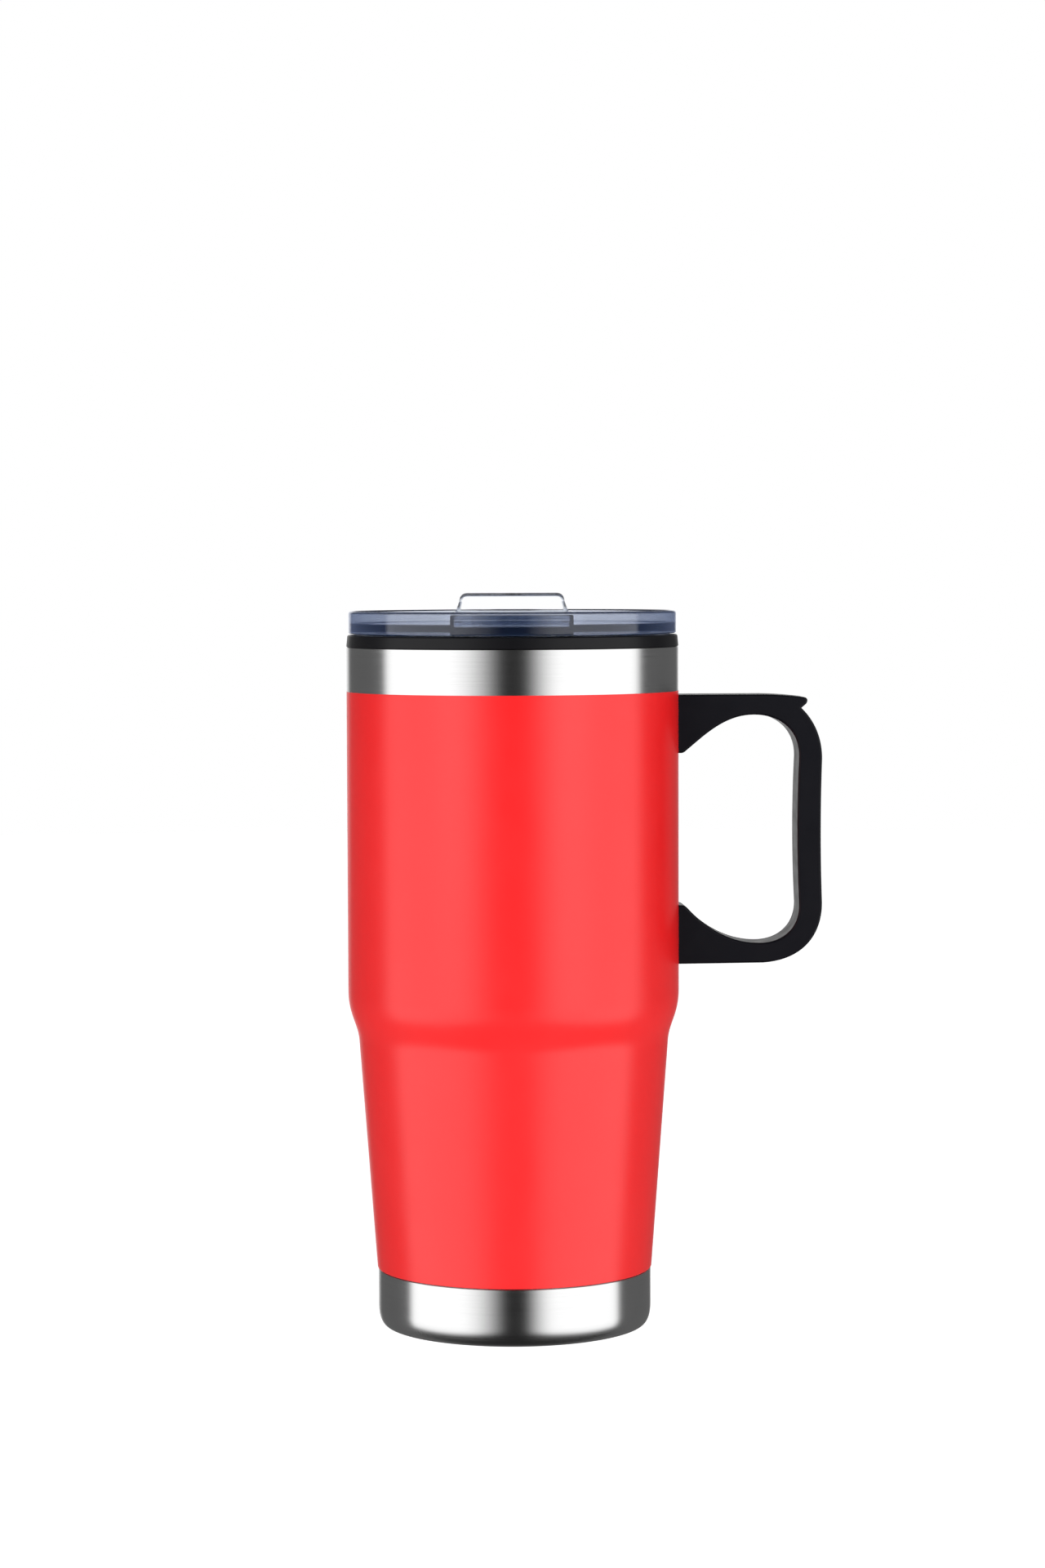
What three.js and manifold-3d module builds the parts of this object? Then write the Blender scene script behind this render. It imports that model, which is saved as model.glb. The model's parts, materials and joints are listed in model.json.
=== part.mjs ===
// An insulated travel mug of about 24 fl oz: a red-coated steel shell and a steel base cup around a
// plastic liner, a strap handle screwed on from inside, and a clear push-on lid with a thumb slider.
//
// Millimetres, +Z up. The origin is the centre of the flat bottom and the handle points along +X.
// Profiles of round pieces are (radius, height) points that run up the outside and down the inside.

import * as THREE from "three";
import { mergeVertices } from "three/addons/utils/BufferGeometryUtils.js";
import Module from "manifold-3d";

const wasm = await Module();
wasm.setup();

// ---------------------------------------------------------------- driving dimensions

// Outside of the mug.
const BODY_R = 44.5; // straight upper wall
const TAPER_TOP_R = 41.58; // lower wall, where the shoulder begins
const TAPER_LOW_R = 36.97; // lower wall, at the shell's lower edge
const CUP_R = 36.8; // base cup
const CUP_TOP = 15.4;
const SHELL_LOW = 15.6; // lower edge of the wide part of the shell
const SHOULDER_LOW = 77;
const SHOULDER_TOP = 90.5;
const SHELL_TOP = 182.85;
const FLANGE_LOW = 182.9; // underside of the liner's rim flange
const RIM_TOP = 186;

// Walls.
const STEEL = 0.6;
const AIR_GAP = 3; // between the shell and the liner
const LINER_WALL = 1.5;
const LINER_OUT_R = BODY_R - STEEL - AIR_GAP;
const MOUTH_R = LINER_OUT_R - LINER_WALL;

// Handle: a flat strap bent to a C.
const HANDLE_WIDTH = 12;
const HANDLE_REACH = 83;
const HANDLE_TOP = 169.75;
const HANDLE_LOW = 97.3;
const HANDLE_EDGE = 0.6; // radius along its edges
const SCREW_HEIGHTS = { lower: 105, upper: 162 };
const SCREW = { shankR: 1.9, headR: 3.4, headLow: 41.6, headTop: 42.9, tip: 53.5, holeR: 2.4 };

// Lid.
const LID_R = 43.95;
const LID_LOW = 186.35;
const LID_TOP = 192.4;
const DECK_TOP = 188.8; // the deck lies inside a standing lip
const DECK_LOW = 187.3;
const SKIRT_WALL = 1.1;
const SKIRT_IN_R = LID_R - SKIRT_WALL;
const PLUG_LOW = 174.6;
const PLUG_IN_R = 35.7;
const PLUG_OUT_R = 37.4;
const GROOVE_LOW = 178;
const GROOVE_TOP = 181;
const LID_TURN = THREE.MathUtils.degToRad(-3.5); // how far round the lid was pushed in

// Slider, measured forward (towards the drinker) and sideways from the lid's centre.
const CHANNEL_BACK = -2.6;
const CHANNEL_FRONT = 40.4;
const CHANNEL_HALF = 14.9;
const CHANNEL_END_R = 41.6; // the channel's front corners stop inside the lip
const CHANNEL_FLOOR = 188.3;
const CHANNEL_TOP = 191.6; // top of the walls that stand up from the deck round the channel
const CHANNEL_WALL = 0.9;
const TRAY_LOW = 186.6; // underside of the channel's floor
const HOLE_FORWARD = 29.3;
const SLOT_FORWARD = 9.75;
const VENT_R = 1.1;
const VENT_BEHIND = 25;
const PLATE_BACK = 12.4;
const PLATE_FRONT = 39;
const TAB_TOP = 197.3;
const TAB_BACK = 24;
const TAB_FRONT = 31;

const RUNNING_GAP = 0.3; // between the slider and the lid
const FIT_GAP = 0.05; // between pieces that are screwed or pressed together

// Fineness.
const ROUND_STEPS = 48; // sides of the large round pieces
const SMALL_STEPS = 16; // sides of the screws and their holes
const CURVE_STEPS = 7; // chords in each long curve of an outline
const BEND_STEPS = 3; // chords in each small bend of a profile
const MERGE_TOLERANCE = 1e-4;

// ---------------------------------------------------------------- helpers

// A closed geometry as a manifold-3d solid.
function solid(geometry) {
  const bare = geometry.index ? geometry.toNonIndexed() : geometry.clone();
  bare.deleteAttribute("normal");
  bare.deleteAttribute("uv");
  const merged = mergeVertices(bare, MERGE_TOLERANCE);
  return new wasm.Manifold(
    new wasm.Mesh({
      numProp: 3,
      vertProperties: merged.attributes.position.array,
      triVerts: new Uint32Array(merged.index.array),
    }),
  );
}

// A manifold-3d solid as a three.js geometry.
function geometryOf(made) {
  const { vertProperties, triVerts } = made.getMesh();
  const geometry = new THREE.BufferGeometry();
  geometry.setAttribute("position", new THREE.BufferAttribute(vertProperties, 3));
  geometry.setIndex(new THREE.BufferAttribute(triVerts, 1));
  geometry.computeVertexNormals();
  return geometry;
}

function finish(color, roughness, metalness = 0) {
  return new THREE.MeshStandardMaterial({ color, roughness, metalness });
}

function clearFinish(color) {
  const material = finish(color, 0.08);
  material.transparent = true;
  material.opacity = 0.35;
  return material;
}

function part(name, geometry, material) {
  const mesh = new THREE.Mesh(geometry, material);
  mesh.name = name;
  return mesh;
}

// The profile turned about Z. A profile that doesn't start on the axis is closed on itself.
function revolve(profile) {
  const points = profile.map(([r, z]) => new THREE.Vector2(r, z));
  if (points[0].x > 0) points.push(points[0].clone());
  return new THREE.LatheGeometry(points, ROUND_STEPS).rotateX(Math.PI / 2);
}

// A solid round bar on the Z axis.
function disc(radius, low, top) {
  return revolve([
    [0, low],
    [radius, low],
    [radius, top],
    [0, top],
  ]);
}

// The corner points of a path, with each curve cut into chords.
function pointsOf(path, steps) {
  return path.getPoints(steps).map((p) => [p.x, p.y]);
}

function shiftInward(profile, distance) {
  return profile.map(([r, z]) => [r - distance, z]);
}

function block([x0, x1], [y0, y1], [z0, z1]) {
  const box = new THREE.BoxGeometry(x1 - x0, y1 - y0, z1 - z0);
  return box.translate((x0 + x1) / 2, (y0 + y1) / 2, (z0 + z1) / 2);
}

// A round bar along X.
function barAlongX(radius, x0, x1, z) {
  const bar = new THREE.CylinderGeometry(radius, radius, x1 - x0, SMALL_STEPS);
  return bar.rotateZ(-Math.PI / 2).translate((x0 + x1) / 2, 0, z);
}

// An outline with round ends, standing between two heights. Its straight sides run along X.
function stadium(halfLength, radius, z0, z1) {
  const centre = halfLength - radius;
  const outline = new THREE.Shape();
  outline.absarc(centre, 0, radius, -Math.PI / 2, Math.PI / 2);
  outline.absarc(-centre, 0, radius, Math.PI / 2, (3 * Math.PI) / 2);
  const options = { depth: z1 - z0, bevelEnabled: false, curveSegments: CURVE_STEPS };
  return new THREE.ExtrudeGeometry(outline, options).translate(0, 0, z0);
}

// An upright outline in X and Z, given thickness along Y about Y = 0, with rounded edges.
function uprightPlate(outline, thickness, edge) {
  const options = {
    depth: thickness - 2 * edge,
    bevelThickness: edge,
    bevelSize: edge,
    bevelOffset: -edge,
    bevelSegments: 2,
    curveSegments: CURVE_STEPS,
  };
  const plate = new THREE.ExtrudeGeometry(outline, options);
  return plate.translate(0, 0, edge - thickness / 2).rotateX(Math.PI / 2);
}

// ---------------------------------------------------------------- steel and liner

// The shell's outside, from its wide lower edge, up the taper and the S-shaped shoulder, to the top.
function wallLine(low, top) {
  const slope = (TAPER_TOP_R - TAPER_LOW_R) / (SHOULDER_LOW - SHELL_LOW);
  const lowerPull = 4.6;
  const upperPull = 6.5;
  const line = new THREE.Path();
  line.moveTo(TAPER_LOW_R + slope * (low - SHELL_LOW), low);
  line.lineTo(TAPER_TOP_R, SHOULDER_LOW);
  line.bezierCurveTo(
    TAPER_TOP_R + slope * lowerPull,
    SHOULDER_LOW + lowerPull,
    BODY_R,
    SHOULDER_TOP - upperPull,
    BODY_R,
    SHOULDER_TOP,
  );
  line.lineTo(BODY_R, top);
  return pointsOf(line, CURVE_STEPS);
}

// The base cup: a drawn steel cup whose wall takes the shell's necked lower end.
function baseCup() {
  const bendIn = 2.5;
  const bendUp = 5.5;
  const flatR = CUP_R - bendIn;
  const wallInR = CUP_R - STEEL;
  const outside = new THREE.Path();
  outside.moveTo(0, 0);
  outside.lineTo(flatR, 0);
  outside.bezierCurveTo(flatR + 1.6, 0, CUP_R, 2.2, CUP_R, bendUp);
  outside.lineTo(CUP_R, CUP_TOP);
  const inside = new THREE.Path();
  inside.moveTo(wallInR, CUP_TOP);
  inside.lineTo(wallInR, bendUp);
  inside.bezierCurveTo(wallInR, 2.6, flatR + 1.2, STEEL, flatR, STEEL);
  inside.lineTo(0, STEEL);
  return revolve([...pointsOf(outside, CURVE_STEPS), ...pointsOf(inside, CURVE_STEPS)]);
}

// The outer shell: one steel tube, necked at its lower end, with a hole for each handle screw.
function outerShell() {
  const neckR = CUP_R - STEEL - 0.2;
  const neckLow = 8.4;
  const outside = wallLine(SHELL_LOW, SHELL_TOP);
  const inside = shiftInward(wallLine(SHELL_LOW + STEEL, SHELL_TOP), STEEL);
  const tube = revolve([
    [neckR, neckLow],
    [neckR, SHELL_LOW],
    ...outside,
    ...inside.reverse(),
    [neckR - STEEL, SHELL_LOW + STEEL],
    [neckR - STEEL, neckLow],
  ]);
  let shell = solid(tube);
  for (const z of Object.values(SCREW_HEIGHTS)) {
    shell = shell.subtract(solid(barAlongX(SCREW.holeR, BODY_R - 5, BODY_R + 5, z)));
  }
  return geometryOf(shell);
}

// The liner: a plastic beaker that follows the shell at an even gap, with the black rim flange.
function innerLiner() {
  const floorLow = 9.5;
  const floorTop = 11.2;
  const cornerR = 3;
  const outside = shiftInward(wallLine(floorLow + cornerR, FLANGE_LOW), STEEL + AIR_GAP);
  const inside = shiftInward(wallLine(floorTop + cornerR, RIM_TOP - 0.5), STEEL + AIR_GAP + LINER_WALL);
  const [outLowR] = outside[0];
  const [inLowR] = inside[0];
  const flangeR = BODY_R + 0.05;
  const flangeTopR = BODY_R - 0.25;
  const round = 0.5;
  return revolve([
    [0, floorLow],
    [outLowR - cornerR, floorLow],
    [outLowR - 0.3 * cornerR, floorLow + 0.3 * cornerR],
    ...outside,
    [flangeR, FLANGE_LOW],
    [flangeTopR, RIM_TOP - round],
    [flangeTopR - round, RIM_TOP],
    [MOUTH_R + round, RIM_TOP],
    ...inside.reverse(),
    [inLowR - 0.3 * cornerR, floorTop + 0.3 * cornerR],
    [inLowR - cornerR, floorTop],
    [0, floorTop],
  ]);
}

// The rubber ring that closes the air gap between the liner and the shell, under the flange.
function linerSeal() {
  const inR = LINER_OUT_R + 0.1;
  const outR = BODY_R - STEEL - 0.1;
  const top = FLANGE_LOW - 0.4;
  const low = top - 3;
  const nose = 0.7;
  return revolve([
    [inR, low],
    [outR - nose, low],
    [outR, low + nose],
    [outR, top - nose],
    [outR - nose, top],
    [inR, top],
  ]);
}

// ---------------------------------------------------------------- handle

// The C's side view: once round the outside from the wall, then back along the finger opening.
function handleOutline() {
  const behindWall = BODY_R - 4;
  const spurTip = HANDLE_REACH - 4;
  const notch = HANDLE_REACH - 5.6;
  const gripIn = HANDLE_REACH - 6.2;
  const shape = new THREE.Shape();
  // Top arm, level, with a short thumb spur that overhangs the grip.
  shape.moveTo(behindWall, HANDLE_TOP);
  shape.lineTo(66, HANDLE_TOP);
  shape.quadraticCurveTo(72, HANDLE_TOP, spurTip - 0.9, 168.95);
  shape.bezierCurveTo(spurTip + 0.1, 168.8, spurTip + 0.3, 167.9, spurTip - 0.4, 167.1);
  shape.lineTo(notch, 166.05);
  // Grip, slightly hollow in the middle of its height.
  shape.bezierCurveTo(80.8, 162.8, HANDLE_REACH, 158.2, HANDLE_REACH, 152.4);
  shape.quadraticCurveTo(HANDLE_REACH - 0.7, 133, HANDLE_REACH, 113.5);
  // Lower corner and lower arm.
  shape.bezierCurveTo(HANDLE_REACH, 105.5, 78.5, 98.2, 67, 97.5);
  shape.lineTo(behindWall, HANDLE_LOW);
  // Lower foot and the hollow of the lower arm.
  shape.lineTo(behindWall, 113.2);
  shape.lineTo(45.2, 113.2);
  shape.quadraticCurveTo(46, 113.1, 46.6, 112.4);
  shape.bezierCurveTo(50.8, 107.8, 57.5, 102.85, 66, 102.85);
  shape.bezierCurveTo(72.2, 102.85, gripIn, 106.6, gripIn, 113);
  // Inside of the grip and the upper arm.
  shape.quadraticCurveTo(gripIn - 1, 133, gripIn, 153);
  shape.bezierCurveTo(gripIn, 160.2, 71.5, 164.3, 64.5, 164.3);
  shape.bezierCurveTo(56.5, 164.3, 51, 158.6, 46.3, 154.8);
  // Upper foot.
  shape.quadraticCurveTo(45.6, 154.1, 44.9, 154.1);
  shape.lineTo(behindWall, 154.1);
  return shape;
}

// The handle: its feet are hollowed to sit on the wall, and each has a blind hole for its screw.
function handle() {
  const wall = disc(BODY_R + FIT_GAP, HANDLE_LOW - 10, HANDLE_TOP + 10);
  let grip = solid(uprightPlate(handleOutline(), HANDLE_WIDTH, HANDLE_EDGE)).subtract(solid(wall));
  for (const z of Object.values(SCREW_HEIGHTS)) {
    grip = grip.subtract(solid(barAlongX(SCREW.shankR + FIT_GAP, BODY_R - 5, SCREW.tip + 1, z)));
  }
  return geometryOf(grip);
}

// A handle screw: its pan head is inside the shell and its shank runs into the handle's foot.
function handleScrew(z) {
  const head = solid(barAlongX(SCREW.headR, SCREW.headLow, SCREW.headTop, z));
  const shank = solid(barAlongX(SCREW.shankR, SCREW.headTop - 0.2, SCREW.tip, z));
  let screw = head.add(shank);
  const reach = 1.7;
  const half = 0.4;
  const recess = [SCREW.headLow - 1, SCREW.headLow + 0.7];
  const bars = [
    block(recess, [-reach, reach], [z - half, z + half]),
    block(recess, [-half, half], [z - reach, z + reach]),
  ];
  for (const bar of bars) {
    screw = screw.subtract(solid(bar));
  }
  return geometryOf(screw);
}

// A backing plate: flat under the screw head, curved where it bears on the inside of the shell.
function backingPlate(z) {
  const half = 6;
  const face = SCREW.headTop + FIT_GAP;
  const inside = disc(BODY_R - STEEL - 0.1, z - 2 * half, z + 2 * half);
  const blank = solid(block([face, BODY_R], [-half, half], [z - half, z + half]));
  const hole = solid(barAlongX(SCREW.holeR, face - 2, BODY_R, z));
  return geometryOf(blank.intersect(solid(inside)).subtract(hole));
}

// ---------------------------------------------------------------- lid (forward is -Y here)

// The lid's round body: a thin skirt that runs up into a lip, the deck inside it, and the plug with
// ribs on both sides of the seal groove.
function lidRound() {
  const edge = 0.9;
  const rib = 1.2;
  const slant = 0.4;
  const ribR = PLUG_OUT_R + 1.45;
  const skirt = new THREE.Path();
  skirt.moveTo(LID_R - 0.35, LID_LOW);
  skirt.lineTo(LID_R, LID_LOW + 0.4);
  skirt.lineTo(LID_R, LID_TOP - edge);
  skirt.absarc(LID_R - edge, LID_TOP - edge, edge, 0, Math.PI / 2);
  skirt.lineTo(SKIRT_IN_R, LID_TOP);
  skirt.lineTo(SKIRT_IN_R, DECK_TOP);
  return revolve([
    [0, DECK_LOW],
    [PLUG_IN_R, DECK_LOW],
    [PLUG_IN_R, PLUG_LOW],
    [PLUG_OUT_R, PLUG_LOW],
    [PLUG_OUT_R, GROOVE_LOW - rib - slant],
    [ribR, GROOVE_LOW - rib],
    [ribR, GROOVE_LOW],
    [PLUG_OUT_R, GROOVE_LOW],
    [PLUG_OUT_R, GROOVE_TOP],
    [ribR, GROOVE_TOP],
    [ribR, GROOVE_TOP + rib],
    [PLUG_OUT_R, GROOVE_TOP + rib + slant],
    [PLUG_OUT_R, DECK_LOW],
    [SKIRT_IN_R, DECK_LOW],
    [SKIRT_IN_R, LID_LOW],
    ...pointsOf(skirt, BEND_STEPS),
    [0, DECK_TOP],
  ]);
}

// The lid body: the round body joined to a block across its front half, which is hollowed from above
// to make the slider's channel, then cut by the drinking hole, the slider's guide slot and the vent.
function lidBody() {
  const trayHalf = CHANNEL_HALF + CHANNEL_WALL;
  const trayBack = CHANNEL_WALL - CHANNEL_BACK;
  const trayBlock = block([-trayHalf, trayHalf], [-BODY_R, trayBack], [TRAY_LOW, CHANNEL_TOP]);
  const trayDisc = disc(SKIRT_IN_R + SKIRT_WALL / 2, TRAY_LOW, CHANNEL_TOP);
  const tray = solid(trayBlock).intersect(solid(trayDisc));
  const channelBlock = block(
    [-CHANNEL_HALF, CHANNEL_HALF],
    [-CHANNEL_FRONT, -CHANNEL_BACK],
    [CHANNEL_FLOOR, LID_TOP],
  );
  const channel = solid(channelBlock).intersect(solid(disc(CHANNEL_END_R, TRAY_LOW, LID_TOP)));
  const throughFloor = [TRAY_LOW - 1, CHANNEL_FLOOR + 1];
  const drinkingHole = stadium(9, 5.3, ...throughFloor).translate(0, -HOLE_FORWARD, 0);
  const guideSlot = stadium(10.75, 2.4, ...throughFloor);
  guideSlot.rotateZ(Math.PI / 2).translate(0, -SLOT_FORWARD, 0);
  const vent = new THREE.CylinderGeometry(VENT_R, VENT_R, 6, SMALL_STEPS).rotateX(Math.PI / 2);
  vent.translate(0, VENT_BEHIND, DECK_LOW);
  let body = solid(lidRound()).add(tray).subtract(channel);
  for (const cut of [drinkingHole, guideSlot, vent]) {
    body = body.subtract(solid(cut));
  }
  return geometryOf(body);
}

// The seal in the plug's groove: a silicone ring with two lips that wipe the liner's mouth.
function lidGasket() {
  const inR = PLUG_OUT_R + 0.2;
  const bodyR = PLUG_OUT_R + 1.1;
  const lipR = MOUTH_R - 0.2;
  const low = GROOVE_LOW + 0.2;
  const top = GROOVE_TOP - 0.2;
  const middle = (low + top) / 2;
  return revolve([
    [inR, low],
    [bodyR, low],
    [lipR, low + 0.3],
    [bodyR, low + 0.9],
    [bodyR, middle + 0.2],
    [lipR, middle + 0.6],
    [bodyR, top],
    [inR, top],
  ]);
}

// The tab's front view, with its foot flared over both walls of the channel.
function tabOutline() {
  const baseHalf = 14.35;
  const topHalf = 13.7;
  const corner = 2;
  const footHalf = baseHalf + 1.1;
  const footLow = CHANNEL_TOP + RUNNING_GAP;
  const footTop = footLow + 0.5;
  const shape = new THREE.Shape();
  shape.moveTo(-baseHalf, CHANNEL_FLOOR + 1);
  shape.lineTo(baseHalf, CHANNEL_FLOOR + 1);
  shape.lineTo(baseHalf, footLow);
  shape.lineTo(footHalf, footLow);
  shape.lineTo(footHalf, footTop);
  shape.quadraticCurveTo(baseHalf, footTop, baseHalf - 0.05, footTop + 1.2);
  shape.lineTo(topHalf, TAB_TOP - corner);
  shape.quadraticCurveTo(topHalf - 0.1, TAB_TOP, topHalf - corner, TAB_TOP);
  shape.lineTo(corner - topHalf, TAB_TOP);
  shape.quadraticCurveTo(0.1 - topHalf, TAB_TOP, -topHalf, TAB_TOP - corner);
  shape.lineTo(0.05 - baseHalf, footTop + 1.2);
  shape.quadraticCurveTo(-baseHalf, footTop, -footHalf, footTop);
  shape.lineTo(-footHalf, footLow);
  shape.lineTo(-baseHalf, footLow);
  return shape;
}

// The thumb slider: a plate that covers the drinking hole, the thumb tab, and two snap legs that
// pass down through the guide slot and hook under the tray.
function thumbSlider() {
  const half = CHANNEL_HALF - RUNNING_GAP;
  const low = CHANNEL_FLOOR + RUNNING_GAP;
  const top = low + 1.8;
  const plateBlock = block([-half, half], [-PLATE_FRONT, -PLATE_BACK], [low, top]);
  const plate = solid(plateBlock).intersect(solid(disc(CHANNEL_END_R - 0.4, low, top)));
  const tab = uprightPlate(tabOutline(), TAB_FRONT - TAB_BACK, 0.25);
  tab.translate(0, -(TAB_FRONT + TAB_BACK) / 2, 0);
  let slider = plate.add(solid(tab));
  const legY = [-18.9, -14.2];
  const hookTop = TRAY_LOW - RUNNING_GAP;
  const hookLow = hookTop - 1.2;
  for (const side of [-1, 1]) {
    const across = (near, far) => [side * near, side * far].sort((a, b) => a - b);
    const leg = block(across(0.6, 1.7), legY, [hookLow, low + 0.5]);
    const hook = block(across(1.2, 3.2), legY, [hookLow, hookTop]);
    slider = slider.add(solid(leg)).add(solid(hook));
  }
  return geometryOf(slider);
}

// ---------------------------------------------------------------- assembly

const BRUSHED_STEEL = finish(0xb9b9bb, 0.32, 1);
const RED_COAT = finish(0xe0262c, 0.45);
const BLACK_PLASTIC = finish(0x18181b, 0.5);
const RUBBER = finish(0x2a2a2c, 0.8);
const SILICONE = finish(0xd8dde0, 0.6);
const ZINC = finish(0x9c9ea2, 0.35, 1);
const CLEAR_LID = clearFinish(0x6f7f96);
const CLEAR_TAB = clearFinish(0xdfe6f0);

const mug = new THREE.Group();
mug.add(part("base_cup", baseCup(), BRUSHED_STEEL));
mug.add(part("outer_shell", outerShell(), RED_COAT));
mug.add(part("inner_liner", innerLiner(), BLACK_PLASTIC));
mug.add(part("liner_seal", linerSeal(), RUBBER));
mug.add(part("handle", handle(), BLACK_PLASTIC));
for (const [place, z] of Object.entries(SCREW_HEIGHTS)) {
  mug.add(part(`${place}_handle_screw`, handleScrew(z), ZINC));
  mug.add(part(`${place}_backing_plate`, backingPlate(z), ZINC));
}

const lid = new THREE.Group();
lid.rotation.z = LID_TURN;
lid.add(part("lid_body", lidBody(), CLEAR_LID));
lid.add(part("lid_gasket", lidGasket(), SILICONE));
lid.add(part("thumb_slider", thumbSlider(), CLEAR_TAB));

const travelMug = new THREE.Group();
travelMug.add(mug, lid);

export default travelMug;
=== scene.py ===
# The looks of an insulated travel mug, built in Blender 4.5 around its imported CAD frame: a red-coated
# steel shell and base cup round a black liner, a strap handle, and a smoke-clear lid with a slider.
#
# Lengths are in millimetres until a mesh is made, which is in metres, in the frame's own axes: +Z up
# the mug's axis, +X towards the handle. The lid's pieces are made facing -Y and then turned.

import json
import math

import bmesh
import bpy
from mathutils import Matrix, Vector

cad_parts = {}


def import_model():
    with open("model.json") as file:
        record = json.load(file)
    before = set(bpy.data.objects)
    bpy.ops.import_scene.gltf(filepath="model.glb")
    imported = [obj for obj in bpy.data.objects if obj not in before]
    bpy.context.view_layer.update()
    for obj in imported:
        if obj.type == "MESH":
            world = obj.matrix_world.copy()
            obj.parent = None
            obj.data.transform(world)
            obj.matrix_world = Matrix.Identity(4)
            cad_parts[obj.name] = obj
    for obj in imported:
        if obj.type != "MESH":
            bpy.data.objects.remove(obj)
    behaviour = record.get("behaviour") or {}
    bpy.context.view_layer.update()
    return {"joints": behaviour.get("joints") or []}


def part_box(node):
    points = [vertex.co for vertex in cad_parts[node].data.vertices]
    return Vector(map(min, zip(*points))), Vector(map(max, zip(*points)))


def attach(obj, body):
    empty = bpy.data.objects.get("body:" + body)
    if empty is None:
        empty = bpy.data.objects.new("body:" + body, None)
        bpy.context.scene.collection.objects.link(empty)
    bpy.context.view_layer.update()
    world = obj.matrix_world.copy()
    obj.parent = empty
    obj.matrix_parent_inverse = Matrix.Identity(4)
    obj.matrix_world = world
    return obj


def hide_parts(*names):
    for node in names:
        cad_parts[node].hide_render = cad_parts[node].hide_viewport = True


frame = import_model()

MM = 0.001
ON_AXIS = 1e-6  # a point of a turned profile with a smaller radius is on the axis


def span(node):
    """The lowest and highest corner of a CAD node, in millimetres."""
    low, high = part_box(node)
    return low / MM, high / MM


# ---------------------------------------------------------------- driving dimensions

CUP_R = span("base_cup")[1].x
CUP_TOP = span("base_cup")[1].z
BODY_R = span("outer_shell")[1].x
SHELL_TOP = span("outer_shell")[1].z
NECK_LOW = span("outer_shell")[0].z
RIM_TOP = span("inner_liner")[1].z
LINER_LOW = span("inner_liner")[0].z
HANDLE_LOW = span("handle")[0].z
HANDLE_TOP = span("handle")[1].z
HANDLE_REACH = span("handle")[1].x
HANDLE_WIDTH = 2 * span("handle")[1].y
PLUG_LOW = span("lid_body")[0].z
LID_TOP = span("lid_body")[1].z
TAB_TOP = span("thumb_slider")[1].z
HOOK_LOW = span("thumb_slider")[0].z
SCREW_HEIGHTS = {
    level: (span(f"{level}_handle_screw")[0].z + span(f"{level}_handle_screw")[1].z) / 2
    for level in ("lower", "upper")
}
SLIDE_AXIS = next(joint["axis"] for joint in frame["joints"] if joint["name"] == "slider_slide")
LID_TURN = math.atan2(-SLIDE_AXIS[0], SLIDE_AXIS[1])

# Walls of the shell and the liner.
STEEL = 0.6
COAT = 0.05  # the red coat's thickness
COAT_TOP = 170.9
AIR_GAP = 3
LINER_WALL = 1.5
SHELL_LOW = CUP_TOP + 0.2
TAPER_LOW_R = CUP_R + 0.17
TAPER_TOP_R = 41.58
SHOULDER_LOW = 77
SHOULDER_TOP = 90.5
MOUTH_R = BODY_R - STEEL - AIR_GAP - LINER_WALL

# Handle screws.
SCREW_R = 1.9
SCREW_HEAD = 1.3  # how thick the head is
SCREW_HOLE_R = 2.4  # in the shell and in the backing plate
BORE_PAST_TIP = 1

# Lid.
LID_R = BODY_R - 0.55
LID_LOW = RIM_TOP + 0.35
DECK_TOP = LID_TOP - 3.6
DECK_LOW = DECK_TOP - 1.5
SKIRT_WALL = 1.1
SKIRT_IN_R = LID_R - SKIRT_WALL
PLUG_OUT_R = 37.4
PLUG_IN_R = PLUG_OUT_R - 1.7
RIB_R = PLUG_OUT_R + 1.45
RIB_HEIGHT = 1.2
GROOVE = (PLUG_LOW + 3.4, PLUG_LOW + 6.4)  # the gasket's groove, from its low side to its top

# The slider and its channel. A back or front is how far forward of the lid's centre it lies.
CHANNEL_BACK = -2.6
CHANNEL_FRONT = 40.4
CHANNEL_HALF = 14.9  # half the channel's width
CHANNEL_END_R = 41.6
CHANNEL_FLOOR = DECK_TOP - 0.5
CHANNEL_TOP = LID_TOP - 0.8
CHANNEL_WALL = 0.9
TRAY_LOW = CHANNEL_FLOOR - 1.7
HOLE_FORWARD = 29.3
HOLE = (9, 5.3)  # half the drinking hole's width and half its depth
SLOT_FORWARD = 9.75
SLOT = (2.4, 10.75)  # half the guide slot's width and half its depth
VENT_BEHIND = 25
VENT_R = 1.1
RUNNING_GAP = 0.3  # between the slider and the lid
FIT_GAP = 0.05  # between pieces that are screwed together
PLATE = (12.4, 39)  # the slider's back and front
PLATE_THICK = 1.8
TAB = (24, 31)  # the thumb tab's back and front

# Fineness.
ROUND_STEPS = 192  # sides of the mug
SMALL_STEPS = 48  # sides of screws and holes
CURVE_STEPS = 20
FILLET_STEPS = 6

# ---------------------------------------------------------------- outlines


class Path:
    """An outline drawn from lines and Bezier curves, as in the CAD source."""

    def __init__(self, x, y):
        self.points = [Vector((x, y))]

    def line(self, x, y):
        self.points.append(Vector((x, y)))

    def cubic(self, x1, y1, x2, y2, x3, y3):
        p0, p1, p2, p3 = self.points[-1], Vector((x1, y1)), Vector((x2, y2)), Vector((x3, y3))
        for step in range(1, CURVE_STEPS + 1):
            t = step / CURVE_STEPS
            s = 1 - t
            self.points.append(p0 * s**3 + p1 * 3 * s * s * t + p2 * 3 * s * t * t + p3 * t**3)

    def quad(self, x1, y1, x2, y2):
        start, pull, end = self.points[-1], Vector((x1, y1)), Vector((x2, y2))
        self.cubic(*start.lerp(pull, 2 / 3), *end.lerp(pull, 2 / 3), *end)


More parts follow.
